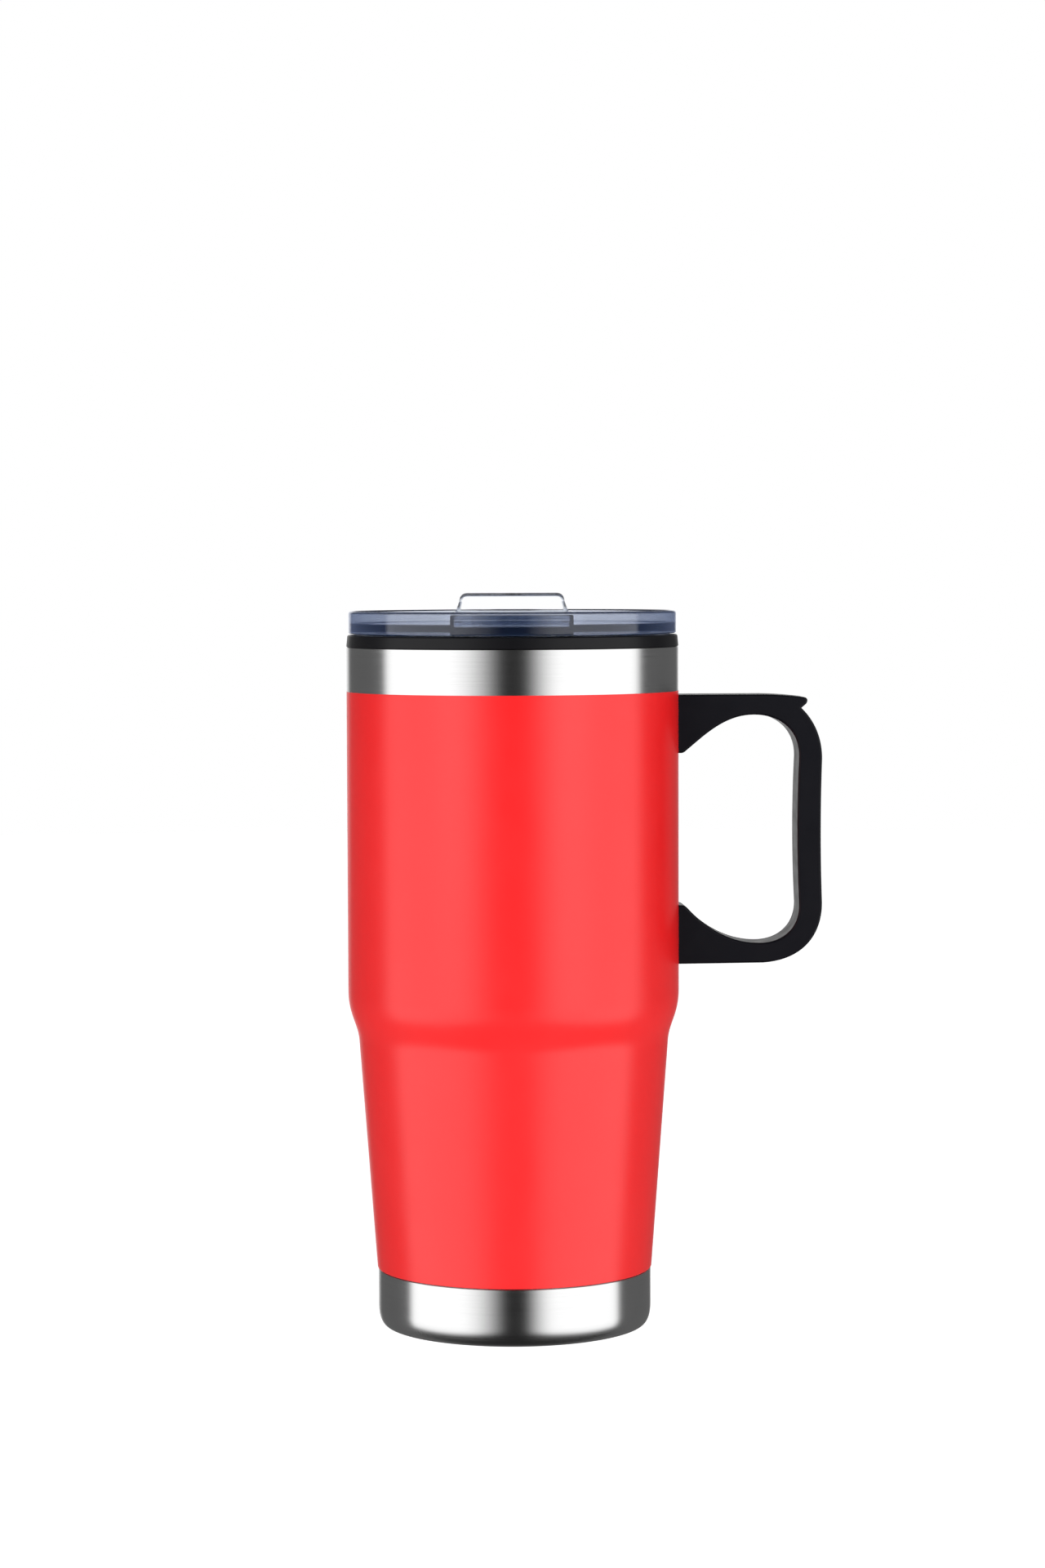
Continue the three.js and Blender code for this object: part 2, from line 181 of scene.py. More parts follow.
def rounded(corners):
    """A closed outline from corners (x, y, radius), each rounded to its radius."""
    points = []
    for i, (x, y, radius) in enumerate(corners):
        here = Vector((x, y))
        if not radius:
            points.append(here)
            continue
        back = (Vector(corners[i - 1][:2]) - here).normalized()
        ahead = (Vector(corners[(i + 1) % len(corners)][:2]) - here).normalized()
        half = back.angle(ahead) / 2
        centre = here + (back + ahead).normalized() * (radius / math.sin(half))
        first = here + back * (radius / math.tan(half)) - centre
        last = here + ahead * (radius / math.tan(half)) - centre
        start = math.atan2(first.y, first.x)
        turn = math.remainder(math.atan2(last.y, last.x) - start, 2 * math.pi)
        for step in range(FILLET_STEPS + 1):
            angle = start + turn * step / FILLET_STEPS
            points.append(centre + radius * Vector((math.cos(angle), math.sin(angle))))
    return points


def rectangle(x0, x1, y0, y1, radius):
    return rounded([(x0, y0, radius), (x1, y0, radius), (x1, y1, radius), (x0, y1, radius)])


def stadium(half_x, half_y, y):
    """An outline with round ends, centred at that y."""
    radius = min(half_x, half_y)
    reach = Vector((half_x - radius, half_y - radius))
    points = []
    for step in range(SMALL_STEPS):
        angle = 2 * math.pi * (step + 0.5) / SMALL_STEPS
        unit = Vector((math.cos(angle), math.sin(angle)))
        side = Vector((math.copysign(reach.x, unit.x), math.copysign(reach.y, unit.y)))
        points.append(Vector((0, y)) + side + unit * radius)
    return points


def offset(outline, distance):
    """A counter-clockwise outline moved outwards, with mitred corners."""
    shifted = []
    for i, here in enumerate(outline):
        along = (here - outline[i - 1]).normalized()
        onward = (outline[(i + 1) % len(outline)] - here).normalized()
        first = Vector((along.y, -along.x))
        normal = (first + Vector((onward.y, -onward.x))).normalized()
        mitre = max(normal.dot(first), 0.5)
        shifted.append(here + normal * (distance / mitre))
    return shifted


def edge_levels(low, high, radius):
    """Levels (height, offset) of a slab whose edges are rounded at both faces."""
    levels = []
    for step in range(FILLET_STEPS + 1):
        angle = math.pi / 2 * step / FILLET_STEPS
        levels.append((low + radius * (1 - math.cos(angle)), radius * (math.sin(angle) - 1)))
    return levels + [(low + high - height, out) for height, out in reversed(levels)]


def hole_levels(low, high, radius, beyond=1):
    """Levels of a cutter that leaves a hole with rounded edges in a plate from low to high."""
    levels = [(height, -out) for height, out in edge_levels(low, high, radius)]
    return [(low - beyond, radius), *levels, (high + beyond, radius)]


# ---------------------------------------------------------------- meshes


def piece_from(name, mesh_data):
    """An object from a bmesh in millimetres, with its faces pointing out."""
    bmesh.ops.recalc_face_normals(mesh_data, faces=mesh_data.faces)
    mesh = bpy.data.meshes.new(name)
    mesh_data.to_mesh(mesh)
    mesh_data.free()
    mesh.transform(Matrix.Scale(MM, 4))
    piece = bpy.data.objects.new(name, mesh)
    bpy.context.scene.collection.objects.link(piece)
    return piece


def join_rings(made, rings, closed):
    """Faces between rings of vertices. A ring of one vertex is a point, and has three-sided faces."""
    pairs = list(zip(rings, rings[1:]))
    if closed:
        pairs.append((rings[-1], rings[0]))
    for lower, upper in pairs:
        count = max(len(lower), len(upper))
        for i in range(count):
            j = (i + 1) % count
            below = (lower[i % len(lower)], lower[j % len(lower)])
            above = (upper[j % len(upper)], upper[i % len(upper)])
            made.faces.new(list(dict.fromkeys(below + above)))


def lathe(name, profile, steps=ROUND_STEPS):
    """A round solid: (radius, height) points turned about Z, closed on itself or on the axis."""
    made = bmesh.new()
    angles = [2 * math.pi * i / steps for i in range(steps)]
    rings = []
    for radius, height in profile:
        if radius < ON_AXIS:
            points = [(0, 0, height)]
        else:
            points = [(radius * math.cos(a), radius * math.sin(a), height) for a in angles]
        rings.append([made.verts.new(point) for point in points])
    join_rings(made, rings, closed=len(rings[0]) > 1)
    return piece_from(name, made)


def loft(name, outline, levels):
    """An upright solid with the outline as its section, offset at each level (height, offset)."""
    made = bmesh.new()
    rings = []
    for height, out in levels:
        rings.append([made.verts.new((x, y, height)) for x, y in offset(outline, out)])
    join_rings(made, rings, closed=False)
    made.faces.new(rings[0])
    made.faces.new(rings[-1])
    return piece_from(name, made)


def turned(piece, angle, axis):
    piece.data.transform(Matrix.Rotation(angle, 4, axis))
    return piece


def upright(name, outline, low, high, edge):
    """A plate standing in X and Z, from y = -high to y = -low, with rounded edges."""
    return turned(loft(name, outline, edge_levels(low, high, edge)), math.pi / 2, "X")


def disc(name, radius, low, high, steps=ROUND_STEPS):
    """A solid round bar on the Z axis."""
    return lathe(name, [(0, low), (radius, low), (radius, high), (0, high)], steps)


def along_x(piece):
    """Turns a piece made on the Z axis so that it lies on the X axis."""
    return turned(piece, math.pi / 2, "Y")


def across_x(piece):
    """Turns a piece lofted up Z so that it is lofted along X, its own X along Y and its Y along Z."""
    piece.data.transform(Matrix(((0, 0, 1, 0), (1, 0, 0, 0), (0, 1, 0, 0), (0, 0, 0, 1))))
    return piece


def raised(piece, height):
    piece.data.transform(Matrix.Translation((0, 0, height * MM)))
    return piece


def settle(piece):
    """Applies a piece's modifiers to its mesh."""
    graph = bpy.context.evaluated_depsgraph_get()
    mesh = bpy.data.meshes.new_from_object(piece.evaluated_get(graph))
    piece.modifiers.clear()
    piece.data = mesh


def combine(piece, operation, *others):
    """Joins, cuts or trims a piece by others, which are used up."""
    for other in others:
        step = piece.modifiers.new("step", "BOOLEAN")
        step.operation = operation
        step.solver = "EXACT"
        step.object = other
        settle(piece)
        bpy.data.objects.remove(other)
    return piece


def smooth(piece, sharp_degrees=35):
    """Smooth shading, with flat faces kept flat."""
    piece.data.polygons.foreach_set("use_smooth", [True] * len(piece.data.polygons))
    piece.data.set_sharp_from_angle(angle=math.radians(sharp_degrees))
    step = piece.modifiers.new("normals", "WEIGHTED_NORMAL")
    step.keep_sharp = True
    step.weight = 100
    settle(piece)


def place(piece, body, node):
    """Finishes a piece: its shading, the body it rides on and the CAD node it stands for."""
    smooth(piece)
    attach(piece, body)
    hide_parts(node)


def finished(piece, *materials):
    """A piece with its materials."""
    for material in materials:
        piece.data.materials.append(material)
    return piece


# ---------------------------------------------------------------- materials


class Finish:
    """A Principled material, with helpers for the nodes that vary it."""

    def __init__(self, name, color, roughness, **sockets):
        self.material = bpy.data.materials.new(name)
        self.material.use_nodes = True
        self.nodes = self.material.node_tree.nodes
        self.shader = self.nodes["Principled BSDF"]
        self.shader.inputs["Base Color"].default_value = (*color, 1)
        self.shader.inputs["Roughness"].default_value = roughness
        for name, value in sockets.items():
            socket = name.replace("_", " ").title().replace("Ior", "IOR")
            self.shader.inputs[socket].default_value = value

    def link(self, output, target):
        self.material.node_tree.links.new(output, target)

    def add(self, kind, **settings):
        node = self.nodes.new(kind)
        for name, value in settings.items():
            setattr(node, name, value)
        return node

    def noise(self, stretch, detail=3):
        """Noise in the mug's own space. Stretch is how many grains fit in a metre on each axis."""
        where = self.add("ShaderNodeTexCoord")
        mapping = self.add("ShaderNodeMapping")
        mapping.inputs["Scale"].default_value = stretch
        self.link(where.outputs["Object"], mapping.inputs["Vector"])
        noise = self.add("ShaderNodeTexNoise")
        noise.inputs["Scale"].default_value = 1
        noise.inputs["Detail"].default_value = detail
        self.link(mapping.outputs["Vector"], noise.inputs["Vector"])
        return noise.outputs["Fac"]

    def spread(self, value, low, high):
        """A noise value spread from low to high."""
        node = self.add("ShaderNodeMapRange")
        node.inputs["From Min"].default_value = 0.3
        node.inputs["From Max"].default_value = 0.7
        node.inputs["To Min"].default_value = low
        node.inputs["To Max"].default_value = high
        self.link(value, node.inputs["Value"])
        return node.outputs["Result"]

    def vary_roughness(self, value, low, high):
        self.link(self.spread(value, low, high), self.shader.inputs["Roughness"])

    def vary_color(self, value, dark, light):
        mix = self.add("ShaderNodeMix", data_type="RGBA")
        mix.inputs["A"].default_value = (*dark, 1)
        mix.inputs["B"].default_value = (*light, 1)
        self.link(self.spread(value, 0, 1), mix.inputs["Factor"])
        self.link(mix.outputs["Result"], self.shader.inputs["Base Color"])

    def bump(self, value, strength, depth):
        """Relief of that depth in millimetres."""
        node = self.add("ShaderNodeBump")
        node.inputs["Strength"].default_value = strength
        node.inputs["Distance"].default_value = depth * MM
        self.link(value, node.inputs["Height"])
        self.link(node.outputs["Normal"], self.shader.inputs["Normal"])


def brushed_steel():
    """Steel brushed round the mug: streaks that are long round it and fine along it."""
    brushing = {"anisotropic": 0.5, "anisotropic_rotation": 0.25}
    steel = Finish("brushed_steel", (0.62, 0.62, 0.62), 0.23, metallic=1, **brushing)
    tangent = steel.add("ShaderNodeTangent", direction_type="RADIAL", axis="Z")
    steel.link(tangent.outputs["Tangent"], steel.shader.inputs["Tangent"])
    streaks = steel.noise((40, 40, 5200), detail=4)
    steel.vary_roughness(streaks, 0.21, 0.25)
    steel.vary_color(streaks, (0.60, 0.60, 0.60), (0.64, 0.64, 0.64))
    steel.bump(streaks, 0.03, 0.01)
    return steel.material


def red_coat():
    """A satin coat with the faint orange peel of a sprayed and baked finish."""
    coat = Finish("red_coat", (0.92, 0.004, 0.006), 0.30, specular_ior_level=0.6)
    coat.vary_roughness(coat.noise((90, 90, 90)), 0.285, 0.32)
    coat.vary_color(coat.noise((14, 14, 14)), (0.90, 0.003, 0.005), (0.94, 0.005, 0.007))
    coat.bump(coat.noise((1400, 1400, 1400), detail=2), 0.06, 0.01)
    return coat.material


def black_plastic():
    """The liner's satin moulded plastic."""
    plastic = Finish("black_plastic", (0.003, 0.003, 0.004), 0.33, specular_ior_level=0.18)
    plastic.vary_roughness(plastic.noise((220, 220, 220)), 0.30, 0.36)
    plastic.vary_color(plastic.noise((60, 60, 60)), (0.003, 0.003, 0.004), (0.004, 0.004, 0.005))
    plastic.bump(plastic.noise((2600, 2600, 2600), detail=2), 0.06, 0.01)
    return plastic.material


def handle_plastic():
    """The handle's black plastic, with a fine spark-eroded grain."""
    plastic = Finish("handle_plastic", (0.004, 0.004, 0.006), 0.34, specular_ior_level=0.13)
    plastic.vary_roughness(plastic.noise((260, 260, 260)), 0.30, 0.38)
    plastic.vary_color(plastic.noise((70, 70, 70)), (0.003, 0.003, 0.005), (0.004, 0.004, 0.006))
    plastic.bump(plastic.noise((3200, 3200, 3200), detail=2), 0.15, 0.02)
    return plastic.material


def rubber():
    """The hidden seal's matte black rubber."""
    seal = Finish("black_rubber", (0.02, 0.02, 0.02), 0.8)
    seal.vary_roughness(seal.noise((900, 900, 900)), 0.72, 0.88)
    seal.vary_color(seal.noise((300, 300, 300)), (0.016, 0.016, 0.017), (0.026, 0.026, 0.027))
    seal.bump(seal.noise((2400, 2400, 2400)), 0.2, 0.02)
    return seal.material


def zinc_plate():
    """Zinc plate, blotched where it has dulled."""
    zinc = Finish("zinc_plate", (0.55, 0.56, 0.58), 0.35, metallic=1)
    zinc.vary_roughness(zinc.noise((700, 700, 700)), 0.28, 0.45)
    zinc.vary_color(zinc.noise((350, 350, 350)), (0.48, 0.49, 0.52), (0.60, 0.61, 0.62))
    zinc.bump(zinc.noise((2600, 2600, 2600)), 0.1, 0.01)
    return zinc.material


def silicone():
    """The gasket's milky, slightly see-through silicone."""
    ring = Finish("silicone", (0.72, 0.75, 0.77), 0.5, transmission_weight=0.35, ior=1.41)
    ring.vary_roughness(ring.noise((500, 500, 500)), 0.42, 0.58)
    ring.bump(ring.noise((1800, 1800, 1800)), 0.1, 0.01)
    return ring.material


def clear_plastic(name, absorbed, density, **sockets):
    """Polished clear plastic. Absorbed is what its depth takes from red, green and blue."""
    clear = Finish(name, (1, 1, 1), 0.02, transmission_weight=1, ior=1.55, **sockets)
    clear.vary_roughness(clear.noise((60, 60, 60)), 0.012, 0.035)
    clear.bump(clear.noise((25, 25, 400)), 0.3, 0.03)
    depth = clear.add("ShaderNodeVolumeAbsorption")
    depth.inputs["Color"].default_value = (*absorbed, 1)
    depth.inputs["Density"].default_value = density
    clear.link(depth.outputs["Volume"], clear.nodes["Material Output"].inputs["Volume"])
    return clear.material


# ---------------------------------------------------------------- steel and liner


def cut_along_x(piece, height, radius, low, high):
    """Bores a round hole along X, at that height."""
    cutter = along_x(disc("bore", radius, low, high, SMALL_STEPS))
    return combine(piece, "DIFFERENCE", raised(cutter, height))


def wall_line(low, top, inward=0):
    """The shell's outside from low to top, moved inwards: taper, S-shaped shoulder, straight wall."""
    slope = (TAPER_TOP_R - TAPER_LOW_R) / (SHOULDER_LOW - SHELL_LOW)
    lower_pull = 4.6
    upper_pull = 6.5
    line = Path(TAPER_LOW_R + slope * (low - SHELL_LOW), low)
    line.line(TAPER_TOP_R, SHOULDER_LOW)
    line.cubic(
        TAPER_TOP_R + slope * lower_pull,
        SHOULDER_LOW + lower_pull,
        BODY_R,
        SHOULDER_TOP - upper_pull,
        BODY_R,
        SHOULDER_TOP,
    )
    line.line(BODY_R, top)
    return [point - Vector((inward, 0)) for point in line.points]


def base_cup():
    """A drawn cup: a flat foot, one wide bend and a straight wall."""
    bend_in = 2.5
    bend_up = 5.5
    edge = 0.2
    flat_r = CUP_R - bend_in
    wall_in_r = CUP_R - STEEL
    outside = Path(0, 0)
    outside.line(flat_r, 0)
    outside.cubic(flat_r + 1.6, 0, CUP_R, 2.2, CUP_R, bend_up)
    top = rounded(
        [
            (CUP_R, bend_up, 0),
            (CUP_R, CUP_TOP, edge),
            (wall_in_r, CUP_TOP, edge),
            (wall_in_r, bend_up, 0),
        ]
    )
    inside = Path(wall_in_r, bend_up)
    inside.cubic(wall_in_r, 2.6, flat_r + 1.2, STEEL, flat_r, STEEL)
    inside.line(0, STEEL)
    return lathe("cup", [*outside.points, *top[1:-1], *inside.points])


def outer_shell():
    """The shell, with the coat standing proud of the bare band at the rim by its own thickness."""
    edge = 0.2
    neck_r = CUP_R - STEEL - 0.2
    outside = wall_line(SHELL_LOW + edge, COAT_TOP, -COAT)
    inside = wall_line(SHELL_LOW + STEEL, SHELL_TOP, STEEL)
    profile = [
        (neck_r, NECK_LOW),
        (neck_r, SHELL_LOW),
        (TAPER_LOW_R - edge, SHELL_LOW),
        (TAPER_LOW_R - edge / 4, SHELL_LOW + edge / 4),
        *outside,
        (BODY_R, COAT_TOP + COAT),
        (BODY_R, SHELL_TOP - edge),
        (BODY_R - edge, SHELL_TOP),
        *reversed(inside),
        (neck_r - STEEL, SHELL_LOW + STEEL),
        (neck_r - STEEL, NECK_LOW),
    ]
    shell = lathe("shell", profile)
    for height in SCREW_HEIGHTS.values():
        cut_along_x(shell, height, SCREW_HOLE_R, BODY_R - 5, BODY_R + 5)
    return shell


def coated(shell, coat, steel):
    """The coat is on the outside only, from the lower edge up to the bare band."""
    finished(shell, coat, steel)
    for face in shell.data.polygons:
        centre = face.center / MM
        outward = face.normal.x * centre.x + face.normal.y * centre.y > 0
        under_coat = SHELL_LOW - 0.01 < centre.z < COAT_TOP + COAT and outward
        face.material_index = 0 if under_coat else 1
    return shell


def inner_liner():
    """A beaker that follows the shell inside the air gap, with a flange over the shell's rim."""
    floor_thick = 1.7
    corner = 3
    flange_r = BODY_R + 0.05
    flange_low = SHELL_TOP + 0.05
    round_r = 0.5
    outside = wall_line(LINER_LOW + corner, flange_low, STEEL + AIR_GAP)
    inside = wall_line(LINER_LOW + floor_thick + corner, RIM_TOP - 1, STEEL + AIR_GAP + LINER_WALL)
    rim = rounded(
        [
            (outside[-1].x, flange_low, 0),
            (flange_r, flange_low, 0.15),
            (flange_r - 0.3, RIM_TOP, round_r),
            (MOUTH_R, RIM_TOP, round_r),
            (MOUTH_R, RIM_TOP - 1, 0),
        ]
    )
    bottom = rounded(
        [
            (0, LINER_LOW, 0),
            (outside[0].x, LINER_LOW, corner),
            (outside[1].x, outside[1].y, 0),
        ]
    )
    floor_line = rounded(
        [
            (inside[1].x, inside[1].y, 0),
            (inside[0].x, LINER_LOW + floor_thick, corner),
            (0, LINER_LOW + floor_thick, 0),
        ]
    )
    return lathe("liner", [*bottom, *outside[2:-1], *rim, *reversed(inside[2:-1]), *floor_line])


def liner_seal():
    """A ring in the air gap under the liner's flange, rounded where it meets the shell."""
    low, high = span("liner_seal")
    nose = 0.7
    heel = 0.2
    inner = MOUTH_R + LINER_WALL + 0.1
    corners = [
        (inner, low.z, heel),
        (high.x, low.z, nose),
        (high.x, high.z, nose),
        (inner, high.z, heel),
    ]
    return lathe("seal", rounded(corners))


# ---------------------------------------------------------------- handle


def handle_outline():
    """The C's side view: once round the outside from the wall, then back along the opening."""
    behind_wall = BODY_R - 4
    spur_tip = HANDLE_REACH - 4
    grip_in = HANDLE_REACH - 6.2
    lower_foot = 113.2  # the top of the lower foot, at the wall
    upper_foot = 154.1  # the bottom of the upper foot, at the wall
    gap_low = 102.85
    gap_top = 164.3
    line = Path(behind_wall, HANDLE_TOP)
    line.line(66, HANDLE_TOP)
    line.quad(72, HANDLE_TOP, spur_tip - 0.9, 168.95)
    line.cubic(spur_tip + 0.1, 168.8, spur_tip + 0.3, 167.9, spur_tip - 0.4, 167.1)
    line.line(HANDLE_REACH - 5.6, 166.05)
    line.cubic(80.8, 162.8, HANDLE_REACH, 158.2, HANDLE_REACH, 152.4)
    line.quad(HANDLE_REACH - 0.7, 133, HANDLE_REACH, 113.5)
    line.cubic(HANDLE_REACH, 105.5, 78.5, 98.2, 67, 97.5)
    line.line(behind_wall, HANDLE_LOW)
    line.line(behind_wall, lower_foot)
    line.line(45.2, lower_foot)
    line.quad(46, lower_foot - 0.1, 46.6, lower_foot - 0.8)
    line.cubic(50.8, 107.8, 57.5, gap_low, 66, gap_low)
    line.cubic(72.2, gap_low, grip_in, 106.6, grip_in, 113)
    line.quad(grip_in - 1, 133, grip_in, 153)
    line.cubic(grip_in, 160.2, 71.5, gap_top, 64.5, gap_top)
    line.cubic(56.5, gap_top, 51, 158.6, 46.3, upper_foot + 0.7)
    line.quad(45.6, upper_foot, 44.9, upper_foot)
    line.line(behind_wall, upper_foot)
    return list(reversed(line.points))


def handle():
    """The C, with its feet hollowed to sit on the wall and a bore in each for its screw.

    The bores were meant to be blind. Their ends come out of the feet's curved sides, in the CAD too.
    """
    edge = 0.6
    grip = upright("grip", handle_outline(), -HANDLE_WIDTH / 2, HANDLE_WIDTH / 2, edge)
    wall_r = BODY_R + COAT + 0.01
    combine(grip, "DIFFERENCE", disc("wall", wall_r, HANDLE_LOW - 9, HANDLE_TOP + 9))
    bore_end = span("lower_handle_screw")[1].x + BORE_PAST_TIP
    for height in SCREW_HEIGHTS.values():
        cut_along_x(grip, height, SCREW_R + FIT_GAP, BODY_R - 5, bore_end)
    return grip


def screw_profile(low, high):
    """A pan head, a plain neck, a thread's relief as rings, and a blunt tip."""
    pitch = 0.8
    root_r = SCREW_R - 0.25
    under_head = low.x + SCREW_HEAD
    profile = rounded(
        [
            (0, low.x, 0),
            (high.y, low.x, 0.7),
            (high.y, under_head, 0.1),
            (SCREW_R, under_head, 0),
        ]
    )
    ridge = under_head + 1.5
    while ridge < high.x - 2 * pitch:
        profile += [(root_r, ridge), (root_r, ridge + pitch / 4), (SCREW_R, ridge + pitch * 0.55)]
        ridge += pitch
    tip = [(SCREW_R - 0.3, high.x - pitch / 2), (SCREW_R - 0.8, high.x), (0, high.x)]
    return profile + tip


def handle_screw(level):
    """The lower or the upper screw, with a cross recess in its head."""
    low, high = span(f"{level}_handle_screw")
    screw = along_x(lathe(f"{level}_screw", screw_profile(low, high), SMALL_STEPS))
    bar_half = 1.7
    bar_thin = 0.4
    for half_z, half_y in ((bar_thin, bar_half), (bar_half, bar_thin)):
        section = rectangle(-half_z, half_z, -half_y, half_y, 0.15)
        recess = loft("recess", section, [(low.x - 1, 0), (low.x + 0.7, -0.1)])
        combine(screw, "DIFFERENCE", along_x(recess))
    return raised(screw, SCREW_HEIGHTS[level])


def backing_plate(level):
    """Flat under the screw's head, curved where it bears on the inside of the shell."""
    low, high = span(f"{level}_backing_plate")
    height = SCREW_HEIGHTS[level]
    outline = rectangle(low.y, high.y, low.z - height, high.z - height, 1)
    blank = loft(f"{level}_plate", outline, edge_levels(low.x, BODY_R, 0.15))
    plate = raised(across_x(blank), height)
    combine(plate, "INTERSECT", disc("inside", BODY_R - STEEL - 0.1, low.z - 5, high.z + 5))
    return cut_along_x(plate, height, SCREW_HOLE_R, low.x - 2, BODY_R + 2)


# ---------------------------------------------------------------- lid, facing -Y


def lid_round():
    """The skirt and its lip, the deck inside, and the plug with a rib on each side of its groove."""
    groove_low, groove_top = GROOVE
    slant = 0.4
    corners = [
        (0, DECK_LOW, 0),
        (PLUG_IN_R, DECK_LOW, 0.6),
        (PLUG_IN_R, PLUG_LOW, 0.3),
        (PLUG_OUT_R, PLUG_LOW, 0.5),
        (PLUG_OUT_R, groove_low - RIB_HEIGHT - slant, 0.1),
        (RIB_R, groove_low - RIB_HEIGHT, 0.3),
        (RIB_R, groove_low, 0.1),
        (PLUG_OUT_R, groove_low, 0.1),
        (PLUG_OUT_R, groove_top, 0.1),
        (RIB_R, groove_top, 0.1),
        (RIB_R, groove_top + RIB_HEIGHT, 0.3),
        (PLUG_OUT_R, groove_top + RIB_HEIGHT + slant, 0.1),
        (PLUG_OUT_R, DECK_LOW, 0.4),
        (SKIRT_IN_R, DECK_LOW, 0.4),
        (SKIRT_IN_R, LID_LOW, 0.2),
        (LID_R, LID_LOW, 0.4),
        (LID_R, LID_TOP, 0.8),
        (SKIRT_IN_R, LID_TOP, 0.2),
        (SKIRT_IN_R, DECK_TOP, 0.5),
        (0, DECK_TOP, 0),
    ]
    return lathe("lid", rounded(corners))


def channel_outline(half, back, front, end_r):
    """The slider's channel or plate seen from above, with its front corners cut inside the lip."""
    corner = 0.8
    front_corner = 4
    side_end = math.sqrt(end_r**2 - half**2)
    front_half = math.sqrt(end_r**2 - front**2)
    return rounded(
        [
            (-half, -back, corner),
            (-half, -side_end, corner),
            (-front_half, -front, front_corner),
            (front_half, -front, front_corner),
            (half, -side_end, corner),
            (half, -back, corner),
        ]
    )


def lid_body():
    """The round lid joined to the slider's tray, with the channel and the lid's three holes cut out."""
    lid = lid_round()
    tray_half = CHANNEL_HALF + CHANNEL_WALL
    tray_outline = rectangle(-tray_half, tray_half, -BODY_R, CHANNEL_WALL - CHANNEL_BACK, 1.5)
    tray = loft("tray", tray_outline, edge_levels(TRAY_LOW, CHANNEL_TOP, 0.4))
    reach = disc("reach", SKIRT_IN_R + SKIRT_WALL / 2, TRAY_LOW - 1, LID_TOP)
    combine(lid, "UNION", combine(tray, "INTERSECT", reach))
    channel_plan = channel_outline(CHANNEL_HALF, CHANNEL_BACK, CHANNEL_FRONT, CHANNEL_END_R)
    channel = loft("channel", channel_plan, channel_levels())
    combine(lid, "DIFFERENCE", channel)
    floor_hole = hole_levels(TRAY_LOW, CHANNEL_FLOOR, 0.3)
    drinking_hole = loft("drinking_hole", stadium(*HOLE, y=-HOLE_FORWARD), floor_hole)
    guide_slot = loft("guide_slot", stadium(*SLOT, y=-SLOT_FORWARD), floor_hole)
    deck_hole = hole_levels(DECK_LOW, DECK_TOP, 0.2)
    vent = loft("vent", stadium(VENT_R, VENT_R, y=VENT_BEHIND), deck_hole)
    return combine(lid, "DIFFERENCE", drinking_hole, guide_slot, vent)


def channel_levels():
    """Levels of the channel's cutter: a small fillet at its floor, and rounded edges at its top."""
    fillet = 0.3
    low = edge_levels(CHANNEL_FLOOR, CHANNEL_FLOOR + 4, fillet)[: FILLET_STEPS + 1]
    top = hole_levels(CHANNEL_FLOOR - 4, CHANNEL_TOP, 0.3)[-FILLET_STEPS - 2 :]
    return low + top


def lid_gasket():
    """A ring in the plug's groove, with two lips that reach out to the liner's mouth."""
    groove_low, groove_top = GROOVE
    gap = 0.2
    low = groove_low + gap
    top = groove_top - gap
    body_r = PLUG_OUT_R + 1.1
    lip_r = MOUTH_R - 0.2
    middle = (low + top) / 2
    corners = [
        (PLUG_OUT_R + gap, low, 0.2),
        (body_r, low, 0.05),
        (lip_r, low + 0.3, 0.12),
        (body_r, low + 0.9, 0.15),
        (body_r, middle + 0.2, 0.1),
        (lip_r, middle + 0.6, 0.12),
        (body_r, top, 0.05),
        (PLUG_OUT_R + gap, top, 0.2),
    ]
    return lathe("gasket", rounded(corners))


def mirrored(right):
    """A closed outline from its right half, which runs up from the bottom."""
    return right.points + [Vector((-p.x, p.y)) for p in reversed(right.points)]


def thumb_tab():
    """The tab, rounded all round, on a thin foot that flares over both walls of the channel."""
    base_half = 14.35
    top_half = 13.7
    corner = 2.2
    foot_half = base_half + 1.1
    foot_low = CHANNEL_TOP + RUNNING_GAP
    foot_top = foot_low + 0.5
    flare_top = foot_top + 1.2
    side = Path(base_half, CHANNEL_FLOOR + 1)
    side.line(base_half - 0.05, flare_top)
    side.line(top_half, TAB_TOP - corner)
    side.quad(top_half - 0.1, TAB_TOP, top_half - corner, TAB_TOP)
    foot = Path(foot_half, foot_low)
    foot.line(foot_half, foot_top)
    foot.quad(base_half, foot_top, base_half - 0.05, flare_top)
    tab = upright("tab", mirrored(side), *TAB, 1)
    back, front = TAB
    inset = 0.1
    flare = upright("foot", mirrored(foot), back + inset, front - inset, 0.2)
    return combine(tab, "UNION", flare)


def thumb_slider():
    """The plate over the drinking hole, the thumb tab, and two snap legs that hook under the tray."""
    low = CHANNEL_FLOOR + RUNNING_GAP
    into_plate = low + 0.5
    plan = channel_outline(CHANNEL_HALF - RUNNING_GAP, *PLATE, CHANNEL_END_R - 0.4)
    slider = loft("slider", plan, edge_levels(low, low + PLATE_THICK, 0.3))
    combine(slider, "UNION", thumb_tab())
    leg_y = (-18.9, -14.2)
    leg_sides = (0.6, 1.7)  # its inner and outer side, from the middle of the slot
    hook_sides = (1.2, 3.2)
    hook_top = TRAY_LOW - RUNNING_GAP
    for side in (-1, 1):
        leg_x = sorted(side * x for x in leg_sides)
        hook_x = sorted(side * x for x in hook_sides)
        leg = loft("leg", rectangle(*leg_x, *leg_y, 0.2), [(HOOK_LOW, 0), (into_plate, 0)])
        hook = loft("hook", rectangle(*hook_x, *leg_y, 0.2), edge_levels(HOOK_LOW, hook_top, 0.15))
        combine(slider, "UNION", leg, hook)
    return slider


# ---------------------------------------------------------------- studio

